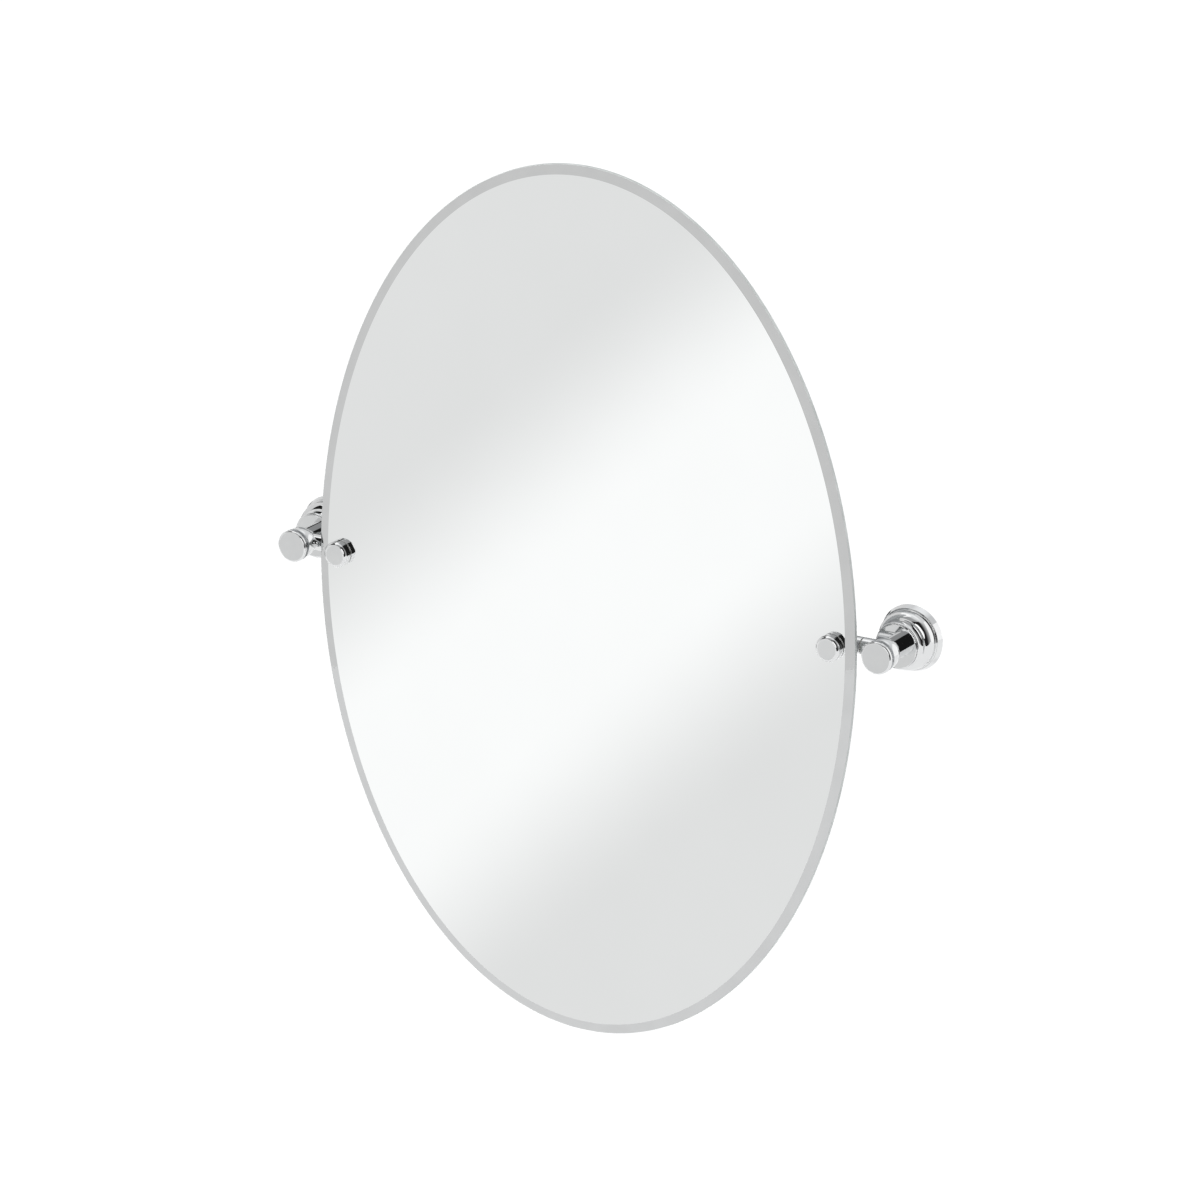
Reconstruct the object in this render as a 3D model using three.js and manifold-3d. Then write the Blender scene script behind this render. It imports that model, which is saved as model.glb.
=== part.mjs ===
// A pivot wall mirror: a frameless oval mirror with a bevelled rim, clamped near its two sides
// to swivel barrels that turn on the arms of two wall brackets, so that the mirror tilts about
// a level axis a little above its middle.
//
// Frame: millimetres, +Z up, the wall is the plane y = 0 and the mirror faces -Y. The origin lies
// on the wall, midway between the brackets, at the height of the tilt axis.
// "Depth" is the distance from the wall, so a depth d lies at y = -d.
// "Inward" distances run from a bracket's post axis towards the middle of the mirror.

import * as THREE from 'three';
import { mergeVertices } from 'three/addons/utils/BufferGeometryUtils.js';
import Module from 'manifold-3d';

const wasm = await Module();
wasm.setup();

// ---------- Driving dimensions ----------

// Clearances
const SEAT_GAP = 0.3; // round a piece fixed in a bore or hole
const RUNNING_GAP = 0.15; // round the pivot pin where the barrel turns on it
const END_GAP = 0.3; // along the arm, at each face of the pivot washer

// Mirror
const MIRROR_WIDTH = 610;
const MIRROR_HEIGHT = 889;
const GLASS_THICKNESS = 6;
const BEVEL_WIDTH = 10;
const BEVEL_DROP = 2.2;
const ARRIS = 0.4; // ground corner of the glass edge
const BACKING_THICKNESS = 0.4; // silver and paint
const BACKING_INSET = 1.2; // bare glass round the painted back
const PIVOT_ABOVE_CENTRE = 9.5; // the oval hangs this far below the tilt axis
const HOLE_FROM_EDGE = 24.5;
const GLASS_HOLE_RADIUS = 5;

// Places of the brackets
const EDGE_TO_POST = 28; // from the glass's edge out to the post axis
const ARM_DEPTH = 46;

// Mounting plate and its screws
const PLATE_RADIUS = 26.4;
const PLATE_THICKNESS = 2.5;
const PLATE_RIM_WIDTH = 2.2;
const PLATE_RIM_HEIGHT = 5.5;
const PLATE_CENTRE_HOLE_RADIUS = 7;
const WALL_SCREW_SPACING = 32;
const WALL_SCREW_RADIUS = 2.1;
const WALL_SCREW_LENGTH = 32; // below the head
const WALL_SCREW_TIP = 5;
const WALL_SCREW_HEAD_RADIUS = 4.1;
const WALL_SCREW_HEAD_HEIGHT = 2.6;

// Rosette
const FLANGE_RADIUS = 33.3;
const FLANGE_HEIGHT = 4.4;
const FLANGE_ROUND = 2.4;
const BELL_RADIUS = 29.3;
const BELL_SHOULDER_DEPTH = 12; // where the bell's side starts to roll over
const BELL_ROUND = 7;
const ROLL_ANGLE = 75; // degrees of the round before it turns into the cove
const COVE_ROUND = 4.6;
const ROSETTE_HEIGHT = 27.8;
const CROWN_THICKNESS = 3;
const SHELL_WALL = 2.6;
const ROSETTE_SCREW_RADIUS = 1.3;
const ROSETTE_SCREW_DEPTH = 2.3;
const ROSETTE_SCREW_RECESS = 0.8; // below the flange's face
const HEX_SOCKET_RADIUS = 0.8;
const HEX_SOCKET_DEPTH = 2;

// Hub collar
const HUB_RADIUS = 23.4;
const HUB_ROUND = 1.2;
const HUB_THICKNESS = 4;
const HUB_FACE_RADIUS = 21.5;
const HUB_BEAD_SETBACK = 0.3; // from the face back to the bead
const HUB_BEAD_WIDTH = 1.1;
const HUB_BEAD_RADIUS = 22.3;
const HUB_BEAD_HEIGHT = 0.6;
const HUB_BEADS = 48;

// Head, a post that ends in a ball, with the rod and nut that hold it
const POST_RADIUS = 11.6;
const BALL_RADIUS = 15.6;
const BALL_AHEAD = 11.1; // ball's centre in front of the arm axis
const BALL_FLAT = 7; // from the ball's centre forward to the knurled ring
const ARM_SEAT = 6; // inward distance of the socket's floor, where the arm ends
const ROD_RADIUS = 4;
const ROD_PAST_NUT = 3;
const ROD_IN_POST = 11;
const ROD_CHAMFER = 0.6;
const ROD_NUT_HALF_WIDTH = 6.5;
const ROD_NUT_HEIGHT = 6;

// Knurled ring and end cap
const KNURL_WIDTH = 5.1;
const KNURL_RADIUS = 16.2;
const KNURL_TOOTH_HEIGHT = 0.55;
const KNURL_TEETH = 44;
const CAP_HEIGHT = 3.4;
const CAP_RADIUS = 16.2;
const CAP_EDGE_ROUND = 3;
const CAP_STUD_RADIUS = 3;
const CAP_STUD_LENGTH = 13;

// Arm, pivot pin and pivot washer
const ARM_RADIUS = 8.4;
const ARM_END = 27.5; // inward distance of the arm's free end
const ARM_CHAMFER = 0.5;
const PIN_RADIUS = 4;
const PIN_IN_ARM = 13.5;
const PIN_IN_BARREL = 12.8;
const PIN_CHAMFER = 0.6;
const BORE_SPARE = 1.2; // bore beyond the pin's end
const PIVOT_WASHER_RADIUS = 7.4;
const PIVOT_WASHER_THICKNESS = 0.6;

// Swivel barrel behind the glass
const BARREL_RADIUS = ARM_RADIUS; // the barrel carries the arm's line on
const BARREL_PAST_HOLE = 12; // barrel beyond the hole's axis
const BARREL_END_ROUND = 3;
const SADDLE_RADIUS = 7.8; // flat-topped boss that the rear pad lies on
const SADDLE_HEIGHT = 2.2; // above the barrel

// Clamp through the glass
const REAR_PAD_THICKNESS = 1;
const REAR_PAD_RADIUS = 9.5;
const BUSH_END_GAP = 0.2;
const STUD_RADIUS = 2.9;
const STUD_BURIED = 14; // length of stud below the rear pad
const STUD_IN_CAP = 5.6; // length of stud above the front washer
const FRONT_WASHER_THICKNESS = 0.8;
const FRONT_WASHER_RADIUS = 12.2;
const CLAMP_CAP_RADIUS = 13.2;
const CLAMP_CAP_EDGE_ROUND = 3.4;
const CLAMP_CAP_HEIGHT = 9.6;
const CLAMP_GROOVE_WIDTH = 0.7;
const CLAMP_GROOVE_DEPTH = 0.4;

// Facets of round pieces
const OVAL_FACETS = 92;
const LARGE_FACETS = 32;
const MEDIUM_FACETS = 24;
const SMALL_FACETS = 16;
const SCREW_FACETS = 10;
const HEX_SIDES = 6;
const CURVE_STEPS = 4;
const EDGE_STEPS = 3;

// How far a cutter runs past what it cuts, and how near two corners are one
const CUT_PAST = 1;
const SAME_CORNER = 1e-4;

// ---------- Places that follow ----------

const SADDLE_TOP_DEPTH = ARM_DEPTH + BARREL_RADIUS + SADDLE_HEIGHT;
const BACKING_BACK_DEPTH = SADDLE_TOP_DEPTH + REAR_PAD_THICKNESS;
const GLASS_BACK_DEPTH = BACKING_BACK_DEPTH + BACKING_THICKNESS;
const MIRROR_FRONT_DEPTH = GLASS_BACK_DEPTH + GLASS_THICKNESS;
const CLAMP_BASE_DEPTH = MIRROR_FRONT_DEPTH + FRONT_WASHER_THICKNESS;
const HOLE_X = MIRROR_WIDTH / 2 - HOLE_FROM_EDGE;
const POST_X = MIRROR_WIDTH / 2 + EDGE_TO_POST;
const HOLE_INWARD = POST_X - HOLE_X;
const PIN_START = ARM_END - PIN_IN_ARM;
const BARREL_START = ARM_END + PIVOT_WASHER_THICKNESS + 2 * END_GAP;
const PIN_END = BARREL_START + PIN_IN_BARREL;
const BARREL_END = HOLE_INWARD + BARREL_PAST_HOLE;
const ROSETTE_INNER_RADIUS = PLATE_RADIUS + SEAT_GAP;
const CROWN_INNER_DEPTH = ROSETTE_HEIGHT - CROWN_THICKNESS;
const HUB_FACE_DEPTH = ROSETTE_HEIGHT + HUB_THICKNESS;
const HUB_BEAD_FRONT_DEPTH = HUB_FACE_DEPTH - HUB_BEAD_SETBACK;
const HUB_BEAD_BACK_DEPTH = HUB_BEAD_FRONT_DEPTH - HUB_BEAD_WIDTH;
const ROD_START_DEPTH = CROWN_INNER_DEPTH - ROD_NUT_HEIGHT - ROD_PAST_NUT;
const ROD_END_DEPTH = HUB_FACE_DEPTH + ROD_IN_POST;
const BALL_DEPTH = ARM_DEPTH + BALL_AHEAD;
const KNURL_BACK_DEPTH = BALL_DEPTH + BALL_FLAT;
const KNURL_FRONT_DEPTH = KNURL_BACK_DEPTH + KNURL_WIDTH;
const CAP_FACE_DEPTH = KNURL_FRONT_DEPTH + CAP_HEIGHT;
const ROLL_REACH = (BELL_ROUND + COVE_ROUND) * Math.cos(THREE.MathUtils.degToRad(ROLL_ANGLE));
const ROLL_RISE = (BELL_ROUND + COVE_ROUND) * Math.sin(THREE.MathUtils.degToRad(ROLL_ANGLE));
const BELL_ROUND_CENTRE = BELL_RADIUS - BELL_ROUND;
const COVE_CENTRE = BELL_ROUND_CENTRE + ROLL_REACH;
const NECK_RADIUS = COVE_CENTRE - COVE_ROUND;
const POST_HOLE_RADIUS = ROD_RADIUS + SEAT_GAP;

// ---------- Solids ----------

// Turns a closed three.js geometry into a solid with its faces pointing out.
function solid(geometry) {
  geometry.deleteAttribute('normal');
  geometry.deleteAttribute('uv');
  const merged = mergeVertices(geometry, SAME_CORNER);
  const at = merged.getAttribute('position').array;
  const index = merged.getIndex().array;
  const triangles = [];
  let volume = 0;
  for (let i = 0; i < index.length; i += 3) {
    const [a, b, c] = index.slice(i, i + 3);
    if (a === b || b === c || c === a) continue;
    triangles.push(a, b, c);
    const [p, q, r] = [a, b, c].map((v) => new THREE.Vector3().fromArray(at, 3 * v));
    volume += p.dot(q.cross(r));
  }
  if (volume < 0) triangles.reverse();
  return new wasm.Manifold(
    new wasm.Mesh({
      numProp: 3,
      vertProperties: Float32Array.from(at),
      triVerts: Uint32Array.from(triangles),
    }),
  );
}

// Solid of revolution about the y axis. The profile is a list of [radius, depth].
function turned(profile, facets) {
  const points = profile.map(([radius, depth]) => new THREE.Vector2(radius, -depth));
  return solid(new THREE.LatheGeometry(points, facets));
}

// A ring or washer on the y axis, from one depth to another.
function ring(innerRadius, outerRadius, backDepth, frontDepth, facets) {
  return turned(
    [
      [innerRadius, backDepth],
      [outerRadius, backDepth],
      [outerRadius, frontDepth],
      [innerRadius, frontDepth],
      [innerRadius, backDepth],
    ],
    facets,
  );
}

// A plain round bar on the y axis.
function bar(radius, backDepth, frontDepth, facets) {
  return turned(
    [
      [0, backDepth],
      [radius, backDepth],
      [radius, frontDepth],
      [0, frontDepth],
    ],
    facets,
  );
}

// Lays a solid that was turned about the y axis along the arm of one bracket. Its depths become
// inward distances from the post axis.
function alongArm(body, side) {
  return body.rotate([0, 0, side > 0 ? -90 : 90]).translate([side * POST_X, -ARM_DEPTH, 0]);
}

// Moves a solid that was turned about the y axis onto a bracket's post or onto a glass hole.
function onPost(body, side) {
  return body.translate([side * POST_X, 0, 0]);
}

function onHole(body, side) {
  return body.translate([side * HOLE_X, 0, 0]);
}

// Points of an arc in the radius-depth plane, with its angles in degrees from the radial direction.
function arc(centreRadius, centreDepth, radius, from, to, steps) {
  return Array.from({ length: steps + 1 }, (_, i) => {
    const angle = THREE.MathUtils.degToRad(from + ((to - from) * i) / steps);
    return [centreRadius + radius * Math.cos(angle), centreDepth + radius * Math.sin(angle)];
  });
}

// A disc on the y axis whose rim is cut into straight teeth.
function toothedDisc(radius, toothHeight, teeth, backDepth, frontDepth) {
  const rim = new THREE.Shape();
  const corners = 2 * teeth;
  for (let i = 0; i < corners; i += 1) {
    const angle = (2 * Math.PI * i) / corners;
    const reach = i % 2 ? radius - toothHeight : radius;
    const draw = i ? 'lineTo' : 'moveTo';
    rim[draw](reach * Math.cos(angle), reach * Math.sin(angle));
  }
  const disc = new THREE.ExtrudeGeometry(rim, {
    depth: frontDepth - backDepth,
    bevelEnabled: false,
  });
  disc.rotateX(Math.PI / 2);
  disc.translate(0, -backDepth, 0);
  return solid(disc);
}

// The oval, drawn in by an inset square to its edge, as a ring of points at one depth.
function ovalRing(inset, depth) {
  const halfWidth = MIRROR_WIDTH / 2;
  const halfHeight = MIRROR_HEIGHT / 2;
  return Array.from({ length: OVAL_FACETS }, (_, i) => {
    const angle = (2 * Math.PI * i) / OVAL_FACETS;
    const edge = new THREE.Vector2(halfWidth * Math.cos(angle), halfHeight * Math.sin(angle));
    const out = new THREE.Vector2(Math.cos(angle) / halfWidth, Math.sin(angle) / halfHeight);
    edge.addScaledVector(out.normalize(), -inset);
    return new THREE.Vector3(edge.x, -depth, edge.y - PIVOT_ABOVE_CENTRE);
  });
}

// Skins a stack of equal rings, front to back, and closes both ends.
function skinned(rings) {
  const points = rings.flat();
  const count = rings[0].length;
  const index = [];
  for (let level = 0; level + 1 < rings.length; level += 1) {
    for (let i = 0; i < count; i += 1) {
      const [a, b] = [level * count + i, level * count + ((i + 1) % count)];
      index.push(a, b, a + count, b, b + count, a + count);
    }
  }
  const middle = (end) => new THREE.Vector3(0, rings[end][0].y, -PIVOT_ABOVE_CENTRE);
  const [front, back] = [points.length, points.length + 1];
  points.push(middle(0), middle(rings.length - 1));
  const last = (rings.length - 1) * count;
  for (let i = 0; i < count; i += 1) {
    const next = (i + 1) % count;
    index.push(front, next, i);
    index.push(back, last + i, last + next);
  }
  const geometry = new THREE.BufferGeometry().setFromPoints(points);
  geometry.setIndex(index);
  return solid(geometry);
}

// ---------- Finishes and nodes ----------

const FINISHES = {
  chrome: { color: 0xc6c8c8, metalness: 1, roughness: 0.08 },
  steel: { color: 0x9a9b9c, metalness: 0.9, roughness: 0.35 },
  glass: { color: 0xdfe4e1, metalness: 0, roughness: 0.02 },
  silvering: { color: 0x8d9294, metalness: 0.8, roughness: 0.3 },
  nylon: { color: 0xe4e2da, metalness: 0, roughness: 0.55 },
  rubber: { color: 0x26282a, metalness: 0, roughness: 0.8 },
};

const model = new THREE.Group();

function node(name, body, finish, group) {
  const cut = body.getMesh();
  const geometry = new THREE.BufferGeometry();
  geometry.setAttribute('position', new THREE.BufferAttribute(cut.vertProperties, 3));
  geometry.setIndex(new THREE.BufferAttribute(cut.triVerts, 1));
  geometry.computeVertexNormals();
  const mesh = new THREE.Mesh(geometry, new THREE.MeshStandardMaterial(FINISHES[finish]));
  mesh.name = name;
  group.add(mesh);
}

// ---------- Mirror plate ----------

function mirrorGlass() {
  const bevelEdge = MIRROR_FRONT_DEPTH - BEVEL_DROP;
  const plate = skinned([
    ovalRing(BEVEL_WIDTH, MIRROR_FRONT_DEPTH),
    ovalRing(ARRIS, bevelEdge),
    ovalRing(0, bevelEdge - ARRIS),
    ovalRing(0, GLASS_BACK_DEPTH + ARRIS),
    ovalRing(ARRIS, GLASS_BACK_DEPTH),
  ]);
  const drill = bar(
    GLASS_HOLE_RADIUS,
    GLASS_BACK_DEPTH - CUT_PAST,
    MIRROR_FRONT_DEPTH + CUT_PAST,
    SMALL_FACETS,
  );
  return plate.subtract(onHole(drill, 1)).subtract(onHole(drill, -1));
}

function silverBacking() {
  const film = skinned([
    ovalRing(BACKING_INSET, GLASS_BACK_DEPTH),
    ovalRing(BACKING_INSET, BACKING_BACK_DEPTH),
  ]);
  const clear = GLASS_HOLE_RADIUS + BACKING_INSET;
  const drill = bar(
    clear,
    BACKING_BACK_DEPTH - CUT_PAST,
    GLASS_BACK_DEPTH + CUT_PAST,
    SMALL_FACETS,
  );
  return film.subtract(onHole(drill, 1)).subtract(onHole(drill, -1));
}

// ---------- Wall bracket: what is fixed to the wall ----------

function mountingPlate() {
  const rimInner = PLATE_RADIUS - PLATE_RIM_WIDTH;
  const dish = turned(
    [
      [PLATE_CENTRE_HOLE_RADIUS, 0],
      [PLATE_RADIUS, 0],
      [PLATE_RADIUS, PLATE_RIM_HEIGHT],
      [rimInner, PLATE_RIM_HEIGHT],
      [rimInner, PLATE_THICKNESS],
      [PLATE_CENTRE_HOLE_RADIUS, PLATE_THICKNESS],
      [PLATE_CENTRE_HOLE_RADIUS, 0],
    ],
    MEDIUM_FACETS,
  );
  const drill = bar(
    WALL_SCREW_RADIUS + SEAT_GAP,
    -CUT_PAST,
    PLATE_THICKNESS + CUT_PAST,
    SCREW_FACETS,
  );
  return [-1, 1].reduce(
    (plate, end) => plate.subtract(drill.translate([0, 0, (end * WALL_SCREW_SPACING) / 2])),
    dish,
  );
}

function wallScrew(end) {
  const seat = PLATE_THICKNESS;
  const tip = seat - WALL_SCREW_LENGTH;
  const top = seat + WALL_SCREW_HEAD_HEIGHT;
  const screw = turned(
    [
      [0, tip],
      [WALL_SCREW_RADIUS, tip + WALL_SCREW_TIP],
      [WALL_SCREW_RADIUS, seat],
      [WALL_SCREW_HEAD_RADIUS, seat],
      [WALL_SCREW_HEAD_RADIUS, seat + WALL_SCREW_HEAD_HEIGHT / 3],
      [WALL_SCREW_HEAD_RADIUS / 2, top],
      [0, top],
    ],
    SCREW_FACETS,
  );
  return screw.translate([0, 0, (end * WALL_SCREW_SPACING) / 2]);
}

// The rosette's shell: a flange, and a bell that rolls over and coves in to its neck.
function rosette() {
  const bore = POST_HOLE_RADIUS;
  const neckInner = NECK_RADIUS - SHELL_WALL;
  const shell = turned(
    [
      [ROSETTE_INNER_RADIUS, 0],
      [FLANGE_RADIUS, 0],
      ...arc(
        FLANGE_RADIUS - FLANGE_ROUND,
        FLANGE_HEIGHT - FLANGE_ROUND,
        FLANGE_ROUND,
        0,
        90,
        EDGE_STEPS,
      ),
      [BELL_RADIUS, FLANGE_HEIGHT],
      ...arc(BELL_ROUND_CENTRE, BELL_SHOULDER_DEPTH, BELL_ROUND, 0, ROLL_ANGLE, CURVE_STEPS),
      ...arc(
        COVE_CENTRE,
        BELL_SHOULDER_DEPTH + ROLL_RISE,
        COVE_ROUND,
        180 + ROLL_ANGLE,
        180,
        CURVE_STEPS,
      ).slice(1),
      [NECK_RADIUS, ROSETTE_HEIGHT],
      [bore, ROSETTE_HEIGHT],
      [bore, CROWN_INNER_DEPTH],
      [neckInner, CROWN_INNER_DEPTH],
      [neckInner, BELL_SHOULDER_DEPTH + BELL_ROUND - SHELL_WALL],
      [ROSETTE_INNER_RADIUS, BELL_SHOULDER_DEPTH],
      [ROSETTE_INNER_RADIUS, 0],
    ],
    LARGE_FACETS,
  );
  const reach = FLANGE_RADIUS - PLATE_RADIUS + CUT_PAST;
  const drill = bar(ROSETTE_SCREW_RADIUS + SEAT_GAP, 0, reach, SCREW_FACETS);
  return shell.subtract(radialScrew(drill));
}

// Turns a solid that lies on the y axis to point down out of the rosette, below the plate's rim.
function radialScrew(body) {
  return body.rotate([90, 0, 0]).translate([0, -ROSETTE_SCREW_DEPTH, -PLATE_RADIUS]);
}

function rosetteSetScrew() {
  const length = FLANGE_RADIUS - ROSETTE_SCREW_RECESS - PLATE_RADIUS;
  const body = bar(ROSETTE_SCREW_RADIUS, SEAT_GAP / 2, length, SCREW_FACETS);
  const floor = length - HEX_SOCKET_DEPTH;
  const socket = bar(HEX_SOCKET_RADIUS, floor, length + CUT_PAST, HEX_SIDES);
  return radialScrew(body.subtract(socket));
}

// The hub's polished face, a fine bead of notches round it and a smooth rounded edge behind.
function hubCollar() {
  const body = turned(
    [
      [0, ROSETTE_HEIGHT],
      [HUB_RADIUS, ROSETTE_HEIGHT],
      ...arc(
        HUB_RADIUS - HUB_ROUND,
        HUB_BEAD_BACK_DEPTH - HUB_ROUND,
        HUB_ROUND,
        0,
        90,
        EDGE_STEPS,
      ),
      [HUB_FACE_RADIUS, HUB_BEAD_BACK_DEPTH],
      [HUB_FACE_RADIUS, HUB_FACE_DEPTH],
      [0, HUB_FACE_DEPTH],
    ],
    LARGE_FACETS,
  );
  const beads = toothedDisc(
    HUB_BEAD_RADIUS,
    HUB_BEAD_HEIGHT,
    HUB_BEADS,
    HUB_BEAD_BACK_DEPTH,
    HUB_BEAD_FRONT_DEPTH,
  );
  const bore = bar(
    POST_HOLE_RADIUS,
    ROSETTE_HEIGHT - CUT_PAST,
    HUB_FACE_DEPTH + CUT_PAST,
    SMALL_FACETS,
  );
  return body.add(beads).subtract(bore);
}

function tieRod() {
  return turned(
    [
      [0, ROD_START_DEPTH],
      [ROD_RADIUS - ROD_CHAMFER, ROD_START_DEPTH],
      [ROD_RADIUS, ROD_START_DEPTH + ROD_CHAMFER],
      [ROD_RADIUS, ROD_END_DEPTH - ROD_CHAMFER],
      [ROD_RADIUS - ROD_CHAMFER, ROD_END_DEPTH],
      [0, ROD_END_DEPTH],
    ],
    SMALL_FACETS,
  );
}

function rodNut() {
  const hexCorner = ROD_NUT_HALF_WIDTH / Math.cos(Math.PI / HEX_SIDES);
  const back = CROWN_INNER_DEPTH - ROD_NUT_HEIGHT;
  const hexagon = bar(hexCorner, back, CROWN_INNER_DEPTH, HEX_SIDES);
  const bore = bar(
    POST_HOLE_RADIUS,
    back - CUT_PAST,
    CROWN_INNER_DEPTH + CUT_PAST,
    SMALL_FACETS,
  );
  return hexagon.subtract(bore);
}

// The post and its ball in one casting, with sockets for the rod, the arm and the end cap's stud.
function head(side) {
  const meetAngle = THREE.MathUtils.radToDeg(Math.acos(POST_RADIUS / BALL_RADIUS));
  const cutAngle = THREE.MathUtils.radToDeg(Math.asin(BALL_FLAT / BALL_RADIUS));
  const casting = turned(
    [
      [0, HUB_FACE_DEPTH],
      [POST_RADIUS, HUB_FACE_DEPTH],
      ...arc(0, BALL_DEPTH, BALL_RADIUS, -meetAngle, cutAngle, 2 * CURVE_STEPS),
      [0, KNURL_BACK_DEPTH],
    ],
    MEDIUM_FACETS,
  );
  const rodSocket = bar(
    POST_HOLE_RADIUS,
    HUB_FACE_DEPTH - CUT_PAST,
    ROD_END_DEPTH + SEAT_GAP,
    SMALL_FACETS,
  );
  const studSocket = bar(
    CAP_STUD_RADIUS + SEAT_GAP,
    KNURL_FRONT_DEPTH - CAP_STUD_LENGTH - SEAT_GAP,
    KNURL_BACK_DEPTH + CUT_PAST,
    SMALL_FACETS,
  );
  const armSocket = bar(
    ARM_RADIUS + SEAT_GAP,
    ARM_SEAT,
    BALL_RADIUS + CUT_PAST,
    MEDIUM_FACETS,
  );
  return onPost(casting.subtract(rodSocket).subtract(studSocket), side).subtract(
    alongArm(armSocket, side),
  );
}

function knurledRing() {
  const disc = toothedDisc(
    KNURL_RADIUS,
    KNURL_TOOTH_HEIGHT,
    KNURL_TEETH,
    KNURL_BACK_DEPTH,
    KNURL_FRONT_DEPTH,
  );
  const bore = bar(
    CAP_STUD_RADIUS + SEAT_GAP,
    KNURL_BACK_DEPTH - CUT_PAST,
    KNURL_FRONT_DEPTH + CUT_PAST,
    SMALL_FACETS,
  );
  return disc.subtract(bore);
}

function endCap() {
  const round = CAP_EDGE_ROUND;
  return turned(
    [
      [0, KNURL_FRONT_DEPTH - CAP_STUD_LENGTH],
      [CAP_STUD_RADIUS, KNURL_FRONT_DEPTH - CAP_STUD_LENGTH],
      [CAP_STUD_RADIUS, KNURL_FRONT_DEPTH],
      [CAP_RADIUS, KNURL_FRONT_DEPTH],
      ...arc(CAP_RADIUS - round, CAP_FACE_DEPTH - round, round, 0, 90, EDGE_STEPS),
      [0, CAP_FACE_DEPTH],
    ],
    MEDIUM_FACETS,
  );
}

function arm(side) {
  const rod = turned(
    [
      [0, ARM_SEAT],
      [ARM_RADIUS, ARM_SEAT],
      [ARM_RADIUS, ARM_END - ARM_CHAMFER],
      [ARM_RADIUS - ARM_CHAMFER, ARM_END],
      [0, ARM_END],
    ],
    MEDIUM_FACETS,
  );
  const pinBore = bar(
    PIN_RADIUS + SEAT_GAP,
    PIN_START - SEAT_GAP,
    ARM_END + CUT_PAST,
    SMALL_FACETS,
  );
  return alongArm(rod.subtract(pinBore), side);
}

function pivotPin(side) {
  const pin = turned(
    [
      [0, PIN_START],
      [PIN_RADIUS, PIN_START],
      [PIN_RADIUS, PIN_END - PIN_CHAMFER],
      [PIN_RADIUS - PIN_CHAMFER, PIN_END],
      [0, PIN_END],
    ],
    SMALL_FACETS,
  );
  return alongArm(pin, side);
}

function pivotWasher(side) {
  const start = ARM_END + END_GAP;
  const washer = ring(
    PIN_RADIUS + SEAT_GAP,
    PIVOT_WASHER_RADIUS,
    start,
    start + PIVOT_WASHER_THICKNESS,
    SMALL_FACETS,
  );
  return alongArm(washer, side);
}

// ---------- What tilts with the glass ----------

// The barrel turns on the pivot pin and carries the stud. A flat-topped saddle meets the rear pad.
function swivelBarrel(side) {
  const body = turned(
    [
      [0, BARREL_START],
      [BARREL_RADIUS - ARM_CHAMFER, BARREL_START],
      [BARREL_RADIUS, BARREL_START + ARM_CHAMFER],
      ...arc(
        BARREL_RADIUS - BARREL_END_ROUND,
        BARREL_END - BARREL_END_ROUND,
        BARREL_END_ROUND,
        0,
        90,
        EDGE_STEPS,
      ),
      [0, BARREL_END],
    ],
    MEDIUM_FACETS,
  );
  const pinBore = bar(
    PIN_RADIUS + RUNNING_GAP,
    BARREL_START - CUT_PAST,
    PIN_END + BORE_SPARE,
    SMALL_FACETS,
  );
  const saddle = bar(SADDLE_RADIUS, ARM_DEPTH, SADDLE_TOP_DEPTH, SMALL_FACETS);
  const studHole = bar(
    STUD_RADIUS + SEAT_GAP,
    SADDLE_TOP_DEPTH - STUD_BURIED - SEAT_GAP,
    SADDLE_TOP_DEPTH + CUT_PAST,
    SMALL_FACETS,
  );
  return alongArm(body, side)
    .add(onHole(saddle, side))
    .subtract(alongArm(pinBore, side))
    .subtract(onHole(studHole, side));
}

function rearPad() {
  const hole = STUD_RADIUS + SEAT_GAP;
  return ring(hole, REAR_PAD_RADIUS, SADDLE_TOP_DEPTH, BACKING_BACK_DEPTH, SMALL_FACETS);
}

function glassBush() {
  return ring(
    STUD_RADIUS + SEAT_GAP,
    GLASS_HOLE_RADIUS - SEAT_GAP,
    GLASS_BACK_DEPTH + BUSH_END_GAP,
    MIRROR_FRONT_DEPTH - BUSH_END_GAP,
    SMALL_FACETS,
  );
}

function clampStud() {
  const [start, end] = [SADDLE_TOP_DEPTH - STUD_BURIED, CLAMP_BASE_DEPTH + STUD_IN_CAP];
  return bar(STUD_RADIUS, start, end, SMALL_FACETS);
}

function frontWasher() {
  const hole = STUD_RADIUS + SEAT_GAP;
  return ring(hole, FRONT_WASHER_RADIUS, MIRROR_FRONT_DEPTH, CLAMP_BASE_DEPTH, SMALL_FACETS);
}

// The round cap nut in front of the glass, with a fine groove behind its rounded face.
function clampCap() {
  const round = CLAMP_CAP_EDGE_ROUND;
  const face = CLAMP_BASE_DEPTH + CLAMP_CAP_HEIGHT;
  const grooveFront = face - round - CLAMP_GROOVE_WIDTH;
  const body = turned(
    [
      [0, CLAMP_BASE_DEPTH],
      [CLAMP_CAP_RADIUS, CLAMP_BASE_DEPTH],
      [CLAMP_CAP_RADIUS, grooveFront - CLAMP_GROOVE_WIDTH],
      [CLAMP_CAP_RADIUS - CLAMP_GROOVE_DEPTH, grooveFront - CLAMP_GROOVE_WIDTH / 2],
      [CLAMP_CAP_RADIUS, grooveFront],
      ...arc(CLAMP_CAP_RADIUS - round, face - round, round, 0, 90, EDGE_STEPS),
      [0, face],
    ],
    MEDIUM_FACETS,
  );
  const hole = bar(
    STUD_RADIUS + SEAT_GAP,
    CLAMP_BASE_DEPTH - CUT_PAST,
    CLAMP_BASE_DEPTH + STUD_IN_CAP + SEAT_GAP,
    SMALL_FACETS,
  );
  return body.subtract(hole);
}

// ---------- Assembly ----------

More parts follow.
